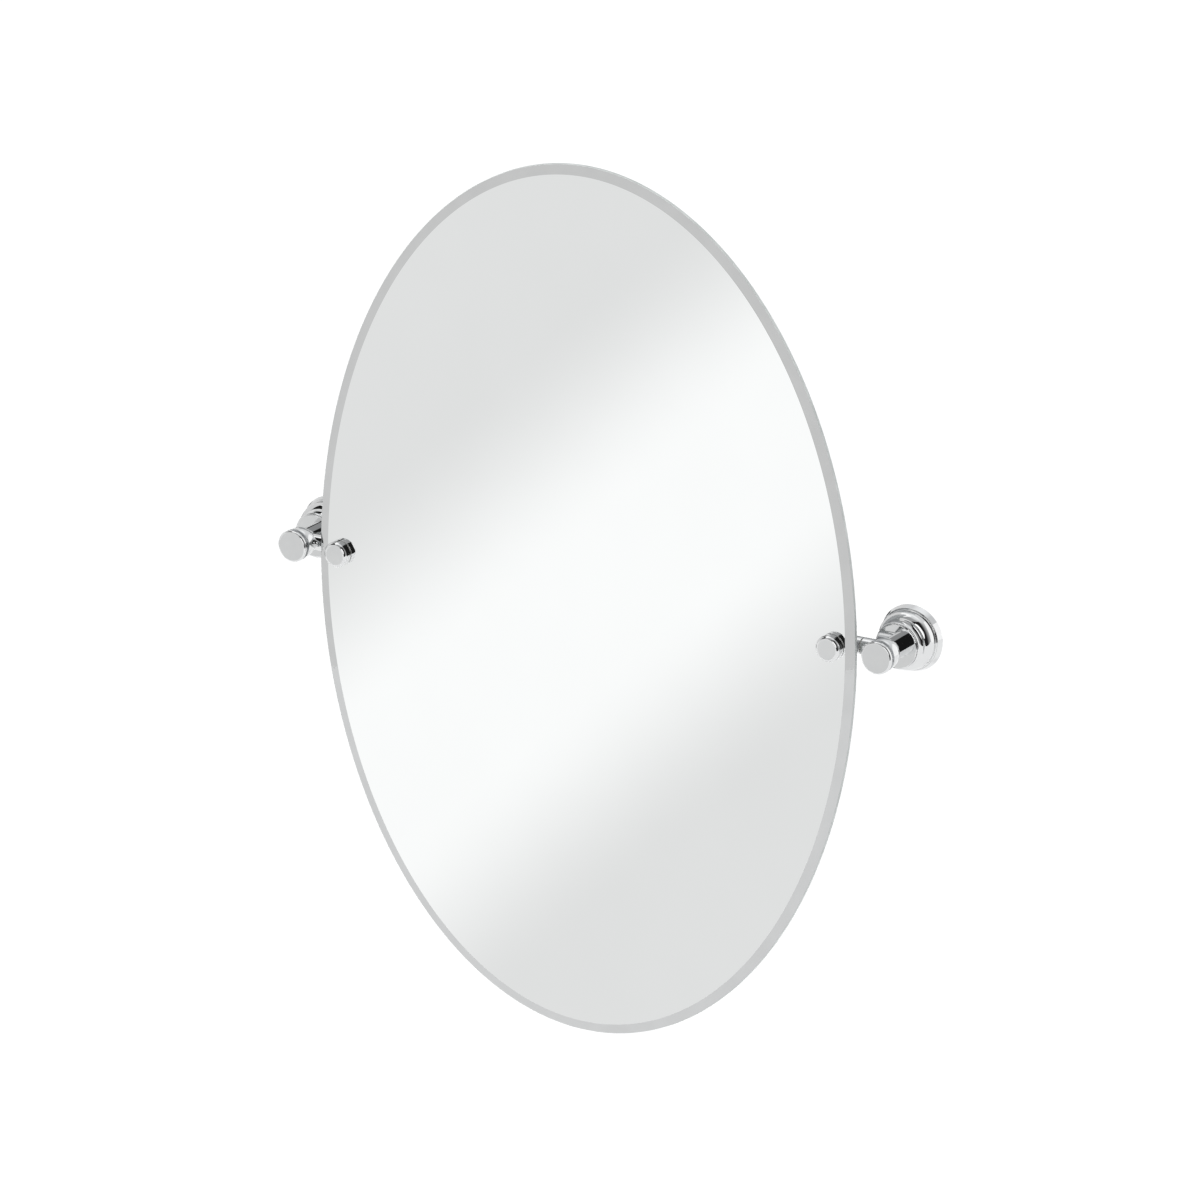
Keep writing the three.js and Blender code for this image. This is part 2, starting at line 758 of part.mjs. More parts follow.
function addBracket(name, side) {
  const bracket = new THREE.Group();
  const fixed = {
    mounting_plate: [onPost(mountingPlate(), side), 'steel'],
    upper_wall_screw: [onPost(wallScrew(1), side), 'steel'],
    lower_wall_screw: [onPost(wallScrew(-1), side), 'steel'],
    rosette: [onPost(rosette(), side), 'chrome'],
    rosette_set_screw: [onPost(rosetteSetScrew(), side), 'steel'],
    hub_collar: [onPost(hubCollar(), side), 'chrome'],
    tie_rod: [onPost(tieRod(), side), 'steel'],
    tie_rod_nut: [onPost(rodNut(), side), 'steel'],
    head: [head(side), 'chrome'],
    knurled_ring: [onPost(knurledRing(), side), 'chrome'],
    end_cap: [onPost(endCap(), side), 'chrome'],
    arm: [arm(side), 'chrome'],
    pivot_pin: [pivotPin(side), 'steel'],
    pivot_washer: [pivotWasher(side), 'nylon'],
  };
  for (const [piece, [body, finish]] of Object.entries(fixed)) {
    node(`${name}_${piece}`, body, finish, bracket);
  }
  model.add(bracket);
}

function addClamp(name, side, mirror) {
  const clamp = {
    swivel_barrel: [swivelBarrel(side), 'chrome'],
    rear_pad: [onHole(rearPad(), side), 'rubber'],
    glass_bush: [onHole(glassBush(), side), 'nylon'],
    clamp_stud: [onHole(clampStud(), side), 'steel'],
    front_washer: [onHole(frontWasher(), side), 'nylon'],
    clamp_cap: [onHole(clampCap(), side), 'chrome'],
  };
  for (const [piece, [body, finish]] of Object.entries(clamp)) {
    node(`${name}_${piece}`, body, finish, mirror);
  }
}

const SIDES = { left: -1, right: 1 };
const mirror = new THREE.Group();
node('mirror_glass', mirrorGlass(), 'glass', mirror);
node('silver_backing', silverBacking(), 'silvering', mirror);
for (const [name, side] of Object.entries(SIDES)) {
  addBracket(name, side);
  addClamp(name, side, mirror);
}
model.add(mirror);

export default model;
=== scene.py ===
"""Looks of the pivot wall mirror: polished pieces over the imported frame, a plain studio, a camera.

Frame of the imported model, in metres: +Z up, the wall is y = 0 and the mirror faces -Y.
Pieces are drawn in millimetres. Depth is the distance from the wall, or along an arm the distance
from the post's axis towards the mirror's middle.
"""
import math

import bmesh
import bpy
from mathutils import Matrix, Vector

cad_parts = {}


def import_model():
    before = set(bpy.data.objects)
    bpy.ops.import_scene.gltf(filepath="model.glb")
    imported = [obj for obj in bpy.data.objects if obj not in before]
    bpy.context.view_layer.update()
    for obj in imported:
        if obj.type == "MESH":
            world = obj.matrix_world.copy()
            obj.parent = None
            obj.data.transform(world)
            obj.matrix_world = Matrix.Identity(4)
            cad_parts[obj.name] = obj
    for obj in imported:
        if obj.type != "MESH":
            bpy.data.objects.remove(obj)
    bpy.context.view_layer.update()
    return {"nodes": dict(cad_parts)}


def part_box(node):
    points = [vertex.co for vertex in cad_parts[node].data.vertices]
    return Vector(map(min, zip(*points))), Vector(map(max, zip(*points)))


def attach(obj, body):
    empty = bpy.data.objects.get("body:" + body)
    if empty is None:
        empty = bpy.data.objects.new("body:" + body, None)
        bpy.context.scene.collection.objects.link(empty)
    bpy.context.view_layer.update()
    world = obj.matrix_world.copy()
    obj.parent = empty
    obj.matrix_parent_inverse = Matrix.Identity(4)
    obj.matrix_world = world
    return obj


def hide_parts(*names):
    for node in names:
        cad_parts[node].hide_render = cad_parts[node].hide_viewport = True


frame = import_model()

MM = 0.001
SIDES = {"left": -1, "right": 1}
CORNERS = ((-1, -1), (1, -1), (1, 1), (-1, 1))

# ---------- Places read from the frame ----------


def span(node, axis):
    """Lowest and highest place of a node along one axis, in millimetres."""
    low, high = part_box(node)
    return low[axis] / MM, high[axis] / MM


def depths(node):
    """Back and front depth of a node."""
    low, high = span(node, 1)
    return -high, -low


def along_arm_depths(node):
    """First and last depth of a node along the right arm."""
    low, high = span(node, 0)
    return POST_X - high, POST_X - low


POST_X = sum(span("right_head", 0)) / 2
HOLE_X = sum(span("right_clamp_cap", 0)) / 2
ARM_DEPTH = sum(depths("right_arm")) / 2
HALF_WIDTH = span("mirror_glass", 0)[1]
OVAL_LOW, OVAL_HIGH = span("mirror_glass", 2)
HALF_HEIGHT = (OVAL_HIGH - OVAL_LOW) / 2
OVAL_CENTRE_Z = (OVAL_LOW + OVAL_HIGH) / 2
GLASS_BACK, GLASS_FRONT = depths("mirror_glass")

# ---------- Materials ----------

NOISE_LOW, NOISE_HIGH = 0.3, 0.7  # where nearly all of a noise lies


class Nodes:
    """The node tree of a material or a world, and short ways to build it."""

    def __init__(self, owner, bare=False):
        owner.use_nodes = True
        self.tree = owner.node_tree
        if bare:
            self.tree.nodes.clear()

    def give(self, socket, value):
        """Links a socket to another node's output, or sets it to a constant."""
        if isinstance(value, bpy.types.NodeSocket):
            self.tree.links.new(value, socket)
        else:
            socket.default_value = value

    def add(self, kind, *values, result=0, **named):
        """Adds a node and returns one of its outputs, by default the first.

        The values go to its inputs in order, and a named one to the property or else to the input
        of that name.
        """
        made = self.tree.nodes.new(f"ShaderNode{kind}")
        for key, value in named.items():
            if hasattr(made, key):
                setattr(made, key, value)
            else:
                self.give(made.inputs[key], value)
        for socket, value in zip(made.inputs, values):
            self.give(socket, value)
        return made.outputs[result]

    def outputs(self, kind, *values):
        """Adds a node and returns all its outputs, which are found by name."""
        return self.add(kind, *values).node.outputs

    def show(self, shader, output="OutputMaterial"):
        """Puts a shader on the surface of the material or the world."""
        made = self.tree.nodes.new(f"ShaderNode{output}")
        self.give(made.inputs["Surface"], shader)

    def place(self, kind="Object"):
        return self.add("TexCoord", result=kind)

    def math(self, operation, *values):
        return self.add("Math", *values, operation=operation)

    def noise(self, scale, detail=2.0, stretch=(1, 1, 1)):
        """Noise on the object's own place, with cells about 1 / scale metres across."""
        sized = self.add("Mapping", self.place(), Scale=stretch)
        return self.add("TexNoise", sized, Scale=scale, Detail=detail, result="Fac")

    def ranged(self, value, low, high, start=NOISE_LOW, end=NOISE_HIGH, curve="LINEAR"):
        """A value that runs from low to high while the given one runs from start to end."""
        return self.add("MapRange", value, start, end, low, high, interpolation_type=curve)

    def shade(self, value, dark, light):
        """A colour that runs from dark to light with a noise."""
        colour = self.add("ValToRGB", value)
        first, last = colour.node.color_ramp.elements
        first.position, last.position = NOISE_LOW, NOISE_HIGH
        first.color, last.color = (*dark, 1), (*light, 1)
        return colour


def surface(name, tint, haze, relief=None, **inputs):
    """A material whose colour, roughness and fine relief each follow a noise of their own.

    tint is (noise, darkest colour, lightest colour), haze (noise, least and greatest roughness)
    and relief (noise, height in metres). A noise is (cells per metre, detail), with a stretch
    along x, y and z after them where it has one.
    """
    material = bpy.data.materials.new(name)
    nodes = Nodes(material)
    shader = nodes.tree.nodes["Principled BSDF"]
    for socket, value in inputs.items():
        shader.inputs[socket.replace("_", " ")].default_value = value
    tint_noise, dark, light = tint
    nodes.give(shader.inputs["Base Color"], nodes.shade(nodes.noise(*tint_noise), dark, light))
    haze_noise, least, greatest = haze
    nodes.give(shader.inputs["Roughness"], nodes.ranged(nodes.noise(*haze_noise), least, greatest))
    if relief:
        relief_noise, height = relief
        bump = nodes.add("Bump", Strength=1.0, Distance=height, Height=nodes.noise(*relief_noise))
        nodes.give(shader.inputs["Normal"], bump)
    return material


def silvered(name, tint, roughest):
    """Silver seen through the clear plate, whose front face shines a little over it."""
    clear_plate = {"Coat_Weight": 1.0, "Coat_Roughness": 0.0, "Coat_IOR": 1.52}
    return surface(name, tint, haze=((160, 3), 0.0, roughest), Metallic=1.0, **clear_plate)


# Bright plate with the faint waviness and the fine polishing haze of buffed chrome.
CHROME = surface(
    "polished_chrome",
    tint=((90, 3), (0.71, 0.715, 0.72), (0.735, 0.74, 0.74)),
    haze=((420, 4), 0.012, 0.03),
    relief=((38, 1), 0.000006),
    Metallic=1.0,
)
# Plate on the knurl, rougher than the polished chrome, with its colour painted darker all over as
# painted shade for the cuts, varied at random by a noise.
SHADED_KNURL = surface(
    "knurled_chrome_painted_shade",
    tint=((600, 3), (0.30, 0.31, 0.32), (0.52, 0.53, 0.54)),
    haze=((900, 3), 0.08, 0.2),
    relief=((2000, 2), 0.00001),
    Metallic=1.0,
)
ZINC = surface(
    "bright_zinc",
    tint=((260, 5), (0.42, 0.44, 0.46), (0.68, 0.69, 0.68)),
    haze=((700, 3), 0.22, 0.42),
    relief=((1500, 3), 0.00001),
    Metallic=1.0,
)
NYLON = surface(
    "white_nylon",
    tint=((180, 3), (0.74, 0.73, 0.68), (0.82, 0.81, 0.77)),
    haze=((900, 3), 0.42, 0.6),
    relief=((1400, 2), 0.000015),
)
RUBBER = surface(
    "black_rubber",
    tint=((200, 4), (0.018, 0.019, 0.021), (0.04, 0.041, 0.044)),
    haze=((800, 4), 0.62, 0.85),
    relief=((2600, 3), 0.00003),
)
MIRROR = silvered(
    "silvered_float_glass", ((9, 2), (0.898, 0.905, 0.903), (0.908, 0.915, 0.913)), roughest=0.004
)
# The ground and polished bevel: its silver is painted a little darker than the face's, painted shade
# for the darker reflection that the bevel shows.
SHADED_BEVEL = silvered(
    "silvered_bevel_painted_shade", ((40, 2), (0.535, 0.54, 0.54), (0.56, 0.565, 0.565)), roughest=0.05
)
# The smooth ground edge of the plate, a little frosted, pale grey-green.
EDGE = surface(
    "ground_glass_edge",
    tint=((60, 4), (0.53, 0.555, 0.545), (0.65, 0.675, 0.665)),
    haze=((500, 4), 0.12, 0.28),
    relief=((1800, 2, (1, 8, 1)), 0.000006),
)
# Grey protective paint, curtain coated, with faint streaks down the sheet.
PAINT = surface(
    "grey_back_paint",
    tint=((24, 5, (6, 1, 0.6)), (0.47, 0.485, 0.495), (0.55, 0.565, 0.57)),
    haze=((240, 4), 0.34, 0.52),
    relief=((700, 4), 0.00002),
)

# ---------- Ways to make meshes ----------

ROUND = 160  # facets of a polished round


def circle(count):
    """(cosine, sine) at even steps round a circle."""
    angles = [2 * math.pi * i / count for i in range(count)]
    return [(math.cos(angle), math.sin(angle)) for angle in angles]


def arc(centre_r, centre_d, radius, start, end, steps=10):
    """(radius, depth) points of an arc, with its angles in degrees from the radial direction."""
    angles = [math.radians(start + (end - start) * i / steps) for i in range(steps + 1)]
    return [(centre_r + radius * math.cos(a), centre_d + radius * math.sin(a)) for a in angles]


def held(profile):
    """The profile with a point close to each end of a long straight, so that flats shade flat."""
    long, margin = 0.5, 0.04
    points = [profile[0]]
    for (r0, d0), (r1, d1) in zip(profile, profile[1:]):
        length = math.hypot(r1 - r0, d1 - d0)
        if length > long:
            share = margin / length
            points.append((r0 + (r1 - r0) * share, d0 + (d1 - d0) * share))
            points.append((r1 - (r1 - r0) * share, d1 - (d1 - d0) * share))
        points.append((r1, d1))
    return points


def turned(profile):
    """A surface of revolution about -Y, from (radius, depth) points."""
    on_axis = 1e-6
    mesh = bmesh.new()
    rings = []
    for radius, depth in held(profile):
        spots = [(0, 0)] if radius < on_axis else circle(ROUND)
        rings.append(
            [mesh.verts.new((radius * MM * x, -depth * MM, radius * MM * z)) for x, z in spots]
        )
    for near, far in zip(rings, rings[1:]):
        for i in range(ROUND):
            j = (i + 1) % ROUND
            places = ((near, i), (near, j), (far, j), (far, i))
            corners = dict.fromkeys(ring[k % len(ring)] for ring, k in places)
            if len(corners) > 2:
                mesh.faces.new(list(corners))
    return mesh


def band(mesh, first, second, material=0):
    """Faces between two rings of equally many vertices."""
    for i, vertex in enumerate(first):
        j = (i + 1) % len(first)
        face = mesh.faces.new((vertex, first[j], second[j], second[i]))
        face.material_index = material


def bead(mesh, radius, width, centre, count, height):
    """Adds a ring of small pyramids with blunt tops to a turned surface."""
    covered = 0.86  # share of the ring under the pyramids
    round_taper, deep_taper = 0.55, 0.2  # how far the tops are drawn in, by half width and by width
    half = math.pi * radius / count * covered
    for x_out, z_out in circle(count):
        out, side = Vector((x_out, 0, z_out)), Vector((-z_out, 0, x_out))
        base, top = [], []
        for x, y in CORNERS:
            foot = out * radius + side * (x * half) - Vector((0, centre + y * width / 2, 0))
            drawn_in = Vector((0, y * width * deep_taper, 0)) - side * (x * half * round_taper)
            base.append(mesh.verts.new(foot * MM))
            top.append(mesh.verts.new((foot + out * height + drawn_in) * MM))
        mesh.faces.new(top)
        mesh.faces.new(base[::-1])
        band(mesh, base, top)


def sheet(half_x, half_y, z=0.0):
    """A level rectangle, in metres."""
    mesh = bmesh.new()
    mesh.faces.new([mesh.verts.new((x * half_x, y * half_y, z)) for x, y in CORNERS])
    return mesh


def new_object(name, data):
    made = bpy.data.objects.new(name, data)
    bpy.context.scene.collection.objects.link(made)
    return made


def mesh_object(name, mesh, materials):
    data = bpy.data.meshes.new(name)
    mesh.to_mesh(data)
    mesh.free()
    for material in materials:
        data.materials.append(material)
    return new_object(name, data)


def finished(name, mesh, materials, sharp=35):
    """An object with smooth faces that meet sharply beyond an angle in degrees."""
    bmesh.ops.recalc_face_normals(mesh, faces=mesh.faces)
    made = mesh_object(name, mesh, materials)
    made.data.shade_smooth()
    made.data.set_sharp_from_angle(angle=math.radians(sharp))
    return made


def stands_for(piece, node, body):
    """A polished piece in the place of one CAD node."""
    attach(piece, body)
    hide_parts(node)


def place_on(x, mesh):
    bmesh.ops.translate(mesh, verts=mesh.verts, vec=(x * MM, 0, 0))
    return mesh


def along_arm(side, mesh):
    """Lays a surface turned about -Y along the arm, its depths inward from the post's axis."""
    turn = Matrix.Rotation(side * -math.pi / 2, 3, "Z")
    bmesh.ops.rotate(mesh, verts=mesh.verts, matrix=turn)
    bmesh.ops.translate(mesh, verts=mesh.verts, vec=(side * POST_X * MM, -ARM_DEPTH * MM, 0))
    return mesh


# ---------- Brackets ----------

ROD_HOLE = 4.3  # radius of the tie rod's hole
CAP_RIM = 16.2  # radius of the end cap and of the knurled ring
ARM_RADIUS = 8.4
BROKEN = 0.3  # round of an edge that is only broken


def broken_edge(radius, back):
    """The broken edge at the back of a rim."""
    return arc(radius - BROKEN, back + BROKEN, BROKEN, -90, 0, 3)


def rosette_profile():
    """Hollow rosette: a flange with a tapered side, a bell that rolls over, a cove and a neck."""
    back, crown = depths("right_rosette")
    flange, flange_front, flange_edge, step = 33.3, 6.6, 0.6, 0.9
    taper, lean = 1.9, 16  # of the flange's side, and its angle in degrees
    bell, shoulder, bell_round, roll, cove = 29.3, 12.0, 7.0, 83.0, 4.6
    mouth, wall, crown_wall = 26.7, 2.6, 3.0
    lip = flange - taper - flange_edge
    cove_centre = bell - bell_round + math.cos(math.radians(roll)) * (bell_round + cove)
    rise = math.sin(math.radians(roll)) * (bell_round + cove)
    neck = cove_centre - cove
    return [
        (mouth, back),
        (flange - BROKEN, back),
        *broken_edge(flange, back),
        *arc(lip, flange_front - flange_edge, flange_edge, lean, 90, 8),
        (bell + step, flange_front),
        *arc(bell + step, flange_front + step, step, 270, 180, 6),
        *arc(bell - bell_round, shoulder, bell_round, 0, roll, 24),
        *arc(cove_centre, shoulder + rise, cove, 180 + roll, 180, 16),
        (neck, crown),
        (ROD_HOLE, crown),
        (ROD_HOLE, crown - crown_wall),
        (neck - wall, crown - crown_wall),
        (neck - wall, shoulder + bell_round - wall),
        (mouth, shoulder),
        (mouth, back),
    ]


def hub_mesh():
    """Flat disc with a ring of small beads round its face."""
    back, face = depths("right_hub_collar")
    rim, rim_round, back_round = 23.4, 1.2, 0.4
    face_radius, face_round = 21.5, 0.25
    bead_front, bead_back, gap = face - 0.3, face - 1.4, 0.1
    seat, sunk = face_radius + 0.15, 0.05  # radius under the beads, and how far they reach into it
    mesh = turned([
        (ROD_HOLE, back),
        (rim - back_round, back),
        *arc(rim - back_round, back + back_round, back_round, -90, 0, 4),
        *arc(rim - rim_round, bead_back - rim_round, rim_round, 0, 90),
        (seat, bead_back),
        (seat, bead_front),
        *arc(face_radius - face_round, face - face_round, face_round, 0, 90, 4),
        (ROD_HOLE, face),
        (ROD_HOLE, back),
    ])
    width, centre = bead_front - bead_back - gap, (bead_front + bead_back) / 2
    bead(mesh, seat - sunk, width, centre, count=84, height=0.65)
    return mesh


def head_profile():
    """Plain post that ends in a ball, with a flat for the knurled ring."""
    back, front = depths("right_head")
    post, ball, ball_ahead = 11.6, 15.6, 11.1  # radii, and the ball's lead over the arm
    ball_depth = ARM_DEPTH + ball_ahead
    meet = math.degrees(math.acos(post / ball))
    cut = math.degrees(math.asin((front - ball_depth) / ball))
    return [(0, back), (post, back), *arc(0, ball_depth, ball, -meet, cut, 40), (0, front)]


def knurl_mesh():
    """Ring with bevelled sides and rows of blunt points round it."""
    back, front = depths("right_knurled_ring")
    bore, core, chamfer = 3.3, CAP_RIM - 0.6, 0.4
    rows, plain = 4, 0.5  # rows of points, and the plain strip at each side
    sunk, filled = 0.02, 0.9  # how far the points reach into the core, and their share of a row
    mesh = turned([
        (bore, back),
        (core - chamfer, back),
        (core, back + chamfer),
        (core, front - chamfer),
        (core - chamfer, front),
        (bore, front),
        (bore, back),
    ])
    pitch = (front - back - 2 * plain) / rows
    for row in range(rows):
        centre = back + plain + (row + 0.5) * pitch
        bead(mesh, core - sunk, pitch * filled, centre, count=72, height=0.6)
    return mesh


def end_cap_profile():
    """Flat-faced round cap with a stud into the ball."""
    start, face = depths("right_end_cap")
    base = depths("right_knurled_ring")[1]
    stud, edge = 3, 1.7
    return [
        (0, start),
        (stud, start),
        (stud, base),
        (CAP_RIM - BROKEN, base),
        *broken_edge(CAP_RIM, base),
        *arc(CAP_RIM - edge, face - edge, edge, 0, 90, 16),
        (0, face),
    ]


def clamp_cap_profile():
    """Flat-faced round nut with a fine groove and a blind hole for the clamp stud."""
    base, face = depths("right_clamp_cap")
    rim, edge, stud_hole, hole_depth = 13.2, 3.4, 3.2, 5.9
    groove, groove_depth = 0.7, 0.4
    groove_front = face - edge - groove
    return [
        (stud_hole, base),
        (rim - BROKEN, base),
        *broken_edge(rim, base),
        (rim, groove_front - groove),
        (rim - groove_depth, groove_front - groove / 2),
        (rim, groove_front),
        *arc(rim - edge, face - edge, edge, 0, 90, 16),
        (0, face),
        (0, base + hole_depth),
        (stud_hole, base + hole_depth),
        (stud_hole, base),
    ]


def arm_profile():
    start, end = along_arm_depths("right_arm")
    edge = 0.5
    return [
        (0, start),
        (ARM_RADIUS, start),
        (ARM_RADIUS, end - edge),
        *arc(ARM_RADIUS - edge, end - edge, edge, 0, 90, 5),
        (0, end),
    ]


def barrel_profile():
    start, end = along_arm_depths("right_swivel_barrel")
    edge, nose = 0.5, 3
    return [
        (0, start),
        *arc(ARM_RADIUS - edge, start + edge, edge, -90, 0, 5),
        *arc(ARM_RADIUS - nose, end - nose, nose, 0, 90, 12),
        (0, end),
    ]


def saddle_profile():
    """Boss from the barrel's middle to the pad behind the mirror."""
    radius, front = 7.8, depths("right_swivel_barrel")[1]
    return [(0, ARM_DEPTH), (radius, ARM_DEPTH), (radius, front), (0, front)]


for name, side in SIDES.items():
    wall, mirror = "wall_brackets", "mirror"
    post, hole = side * POST_X, side * HOLE_X
    chrome_pieces = [
        ("rosette", place_on(post, turned(rosette_profile())), wall),
        ("hub_collar", place_on(post, hub_mesh()), wall),
        ("head", place_on(post, turned(head_profile())), wall),
        ("knurled_ring", place_on(post, knurl_mesh()), wall),
        ("end_cap", place_on(post, turned(end_cap_profile())), wall),
        ("arm", along_arm(side, turned(arm_profile())), wall),
        ("clamp_cap", place_on(hole, turned(clamp_cap_profile())), mirror),
        ("swivel_barrel", along_arm(side, turned(barrel_profile())), mirror),
    ]
    for node, mesh, body in chrome_pieces:
        # The knurled ring takes the chrome with painted shade for its cuts.
        plate = SHADED_KNURL if node == "knurled_ring" else CHROME
        piece = finished(f"polished_{name}_{node}", mesh, [plate])
        stands_for(piece, f"{name}_{node}", body)
    saddle_mesh = place_on(hole, turned(saddle_profile()))
    saddle = finished(f"polished_{name}_saddle", saddle_mesh, [CHROME])
    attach(saddle, mirror)

# ---------- Mirror plate ----------

OVAL_FACETS = 512
HOLE_RADIUS, HOLE_FACETS = 5, 64


def oval_ring(mesh, inset, depth):
    """Vertices round the oval, drawn in by an inset square to its edge."""
    ring = []
    for across, up in circle(OVAL_FACETS):
        edge = Vector((HALF_WIDTH * across, HALF_HEIGHT * up))
        out = Vector((across / HALF_WIDTH, up / HALF_HEIGHT)).normalized()
        x, z = edge - out * inset
        ring.append(mesh.verts.new((x * MM, -depth * MM, (z + OVAL_CENTRE_Z) * MM)))
    return ring


def hole_rings(mesh, depth):
    """For each hole, the vertices round it."""
    return [
        [
            mesh.verts.new(((x + HOLE_RADIUS * across) * MM, -depth * MM, HOLE_RADIUS * up * MM))
            for across, up in circle(HOLE_FACETS)
        ]
        for x in (-HOLE_X, HOLE_X)
    ]


def pierced_face(mesh, rim, holes, material):
    """A flat face inside the rim, with the holes left open."""
    edges = []
    for ring in [rim, *holes]:
        for i, vertex in enumerate(ring):
            pair = (vertex, ring[(i + 1) % len(ring)])
            edges.append(mesh.edges.get(pair) or mesh.edges.new(pair))
    made = bmesh.ops.triangle_fill(mesh, use_beauty=True, use_dissolve=True, edges=edges)
    for item in made["geom"]:
        if isinstance(item, bmesh.types.BMFace):
            item.material_index = material


def mirror_plate():
    bevel, drop, arris = 10.0, 2.2, 0.4
    face, sloped, ground = 0, 1, 2
    back = GLASS_BACK + 0.05  # clear of the backing sheet
    mesh = bmesh.new()
    rings = [
        oval_ring(mesh, bevel, GLASS_FRONT),
        oval_ring(mesh, arris, GLASS_FRONT - drop),
        oval_ring(mesh, 0, GLASS_FRONT - drop - arris),
        oval_ring(mesh, 0, back + arris),
        oval_ring(mesh, arris, back),
    ]
    for near, far, material in zip(rings, rings[1:], (sloped, ground, ground, ground)):
        band(mesh, near, far, material)
    front_holes, back_holes = hole_rings(mesh, GLASS_FRONT), hole_rings(mesh, back)
    for near, far in zip(front_holes, back_holes):
        band(mesh, near, far, ground)
    pierced_face(mesh, rings[0], front_holes, face)
    pierced_face(mesh, rings[-1], back_holes, ground)
    # The sloped bevel takes the silver with painted shade.
    return finished("bevelled_mirror_plate", mesh, [MIRROR, SHADED_BEVEL, EDGE], sharp=8)


stands_for(mirror_plate(), "mirror_glass", "mirror")

# ---------- CAD nodes that stay ----------

FINISH_OF = {
    "mounting_plate": ZINC,
    "wall_screw": ZINC,
    "set_screw": ZINC,
    "tie_rod": ZINC,
    "pivot_pin": ZINC,
    "clamp_stud": ZINC,
    "washer": NYLON,
    "bush": NYLON,
    "rear_pad": RUBBER,
    "silver_backing": PAINT,
}
for name, node in frame["nodes"].items():
    for word, material in FINISH_OF.items():
        if word in name:
            node.data.materials.clear()
            node.data.materials.append(material)

# ---------- View ----------

CAMERA_AZIMUTH, CAMERA_ELEVATION = 31.09, 18.48
CAMERA_DISTANCE = 6.115
PIXELS_PER_RADIAN, PICTURE_WIDTH = 6258, 1200
AIM_RIGHT, AIM_UP, AIM_DEPTH = 0.01396, -0.00399, 0.054


def heading(azimuth, elevation):
    """Unit vector at an azimuth from -Y towards +X and at an elevation, in degrees."""
    a, e = math.radians(azimuth), math.radians(elevation)
    return Vector((math.sin(a) * math.cos(e), -math.cos(a) * math.cos(e), math.sin(e)))


# Directions from the object to the camera, to the camera's right and up.
BACK = heading(CAMERA_AZIMUTH, CAMERA_ELEVATION)
RIGHT = heading(CAMERA_AZIMUTH + 90, 0)
UP = BACK.cross(RIGHT)
EYE = Vector((0, -AIM_DEPTH, 0)) + RIGHT * AIM_RIGHT + UP * AIM_UP + BACK * CAMERA_DISTANCE

# ---------- Studio ----------

FLOOR_DROP = 2.2  # floor below the tilt axis
FAR = 5.5  # distance of the large cards
SCREEN_AHEAD = 3.6  # distance of the screen that the mirror shows
WHITE = (1, 1, 1)


def bare_material(name):
    """A new material and its empty nodes."""
    material = bpy.data.materials.new(name)
    return material, Nodes(material, bare=True)


def glowing(name, strength, dimmest=1.0, colour=WHITE):
    """A light material whose strength drifts across it, down to a share of its full value."""
    drift = 0.6  # cells per metre
    material, nodes = bare_material(name)
    level = nodes.ranged(nodes.noise(drift), strength * dimmest, strength)
    nodes.show(nodes.add("Emission", (*colour, 1), level))
    return material


def graded(name, strengths, azimuths):
    """A light material that runs from one strength to another between two azimuths in degrees."""
    material, nodes = bare_material(name)
    place = nodes.outputs("SeparateXYZ", nodes.place())
    azimuth = nodes.math("ARCTAN2", place["X"], nodes.math("MULTIPLY", place["Y"], -1))
    level = nodes.ranged(azimuth, *strengths, *map(math.radians, azimuths))
    nodes.show(nodes.add("Emission", (*WHITE, 1), level))
    return material


def staged(name, mesh, material, shown=False):
    """A studio piece; one that isn't shown is there for reflections only."""
    made = mesh_object(name, mesh, [material])
    made.visible_camera = shown
    made.visible_diffuse = shown
    made.visible_shadow = shown
    return made


def smoothed(corners):
    """A closed curve through the corners."""
    steps, count = 6, len(corners)
    curve = []
    for i in range(count):
        p = [Vector(corners[(i + k - 1) % count]) for k in range(4)]
        square = 2 * p[0] - 5 * p[1] + 4 * p[2] - p[3]
        cube = 3 * p[1] - p[0] - 3 * p[2] + p[3]
        for step in range(steps):
            t = step / steps
            curve.append(0.5 * (2 * p[1] + (p[2] - p[0]) * t + square * t**2 + cube * t**3))
    return curve


def far_card(name, corners, distance, material):
    """A card on a sphere round the object, its outline given as (azimuth, elevation) corners.

    It is a fan from the outline's middle, so the outline has to be seen whole from there.
    """
    outline = smoothed(corners)
    middle = sum(outline, Vector((0, 0))) / len(outline)
    mesh = bmesh.new()
    rings = [
        [mesh.verts.new(heading(*(middle + (p - middle) * share)) * distance) for p in outline]
        for share in (1.0, 0.66, 0.33)
    ]
    tip = mesh.verts.new(heading(*middle) * distance)
    for near, far in zip(rings, rings[1:]):
        band(mesh, near, far)
    for i, vertex in enumerate(rings[-1]):
        mesh.faces.new((vertex, rings[-1][(i + 1) % len(outline)], tip))
    staged(name, mesh, material)


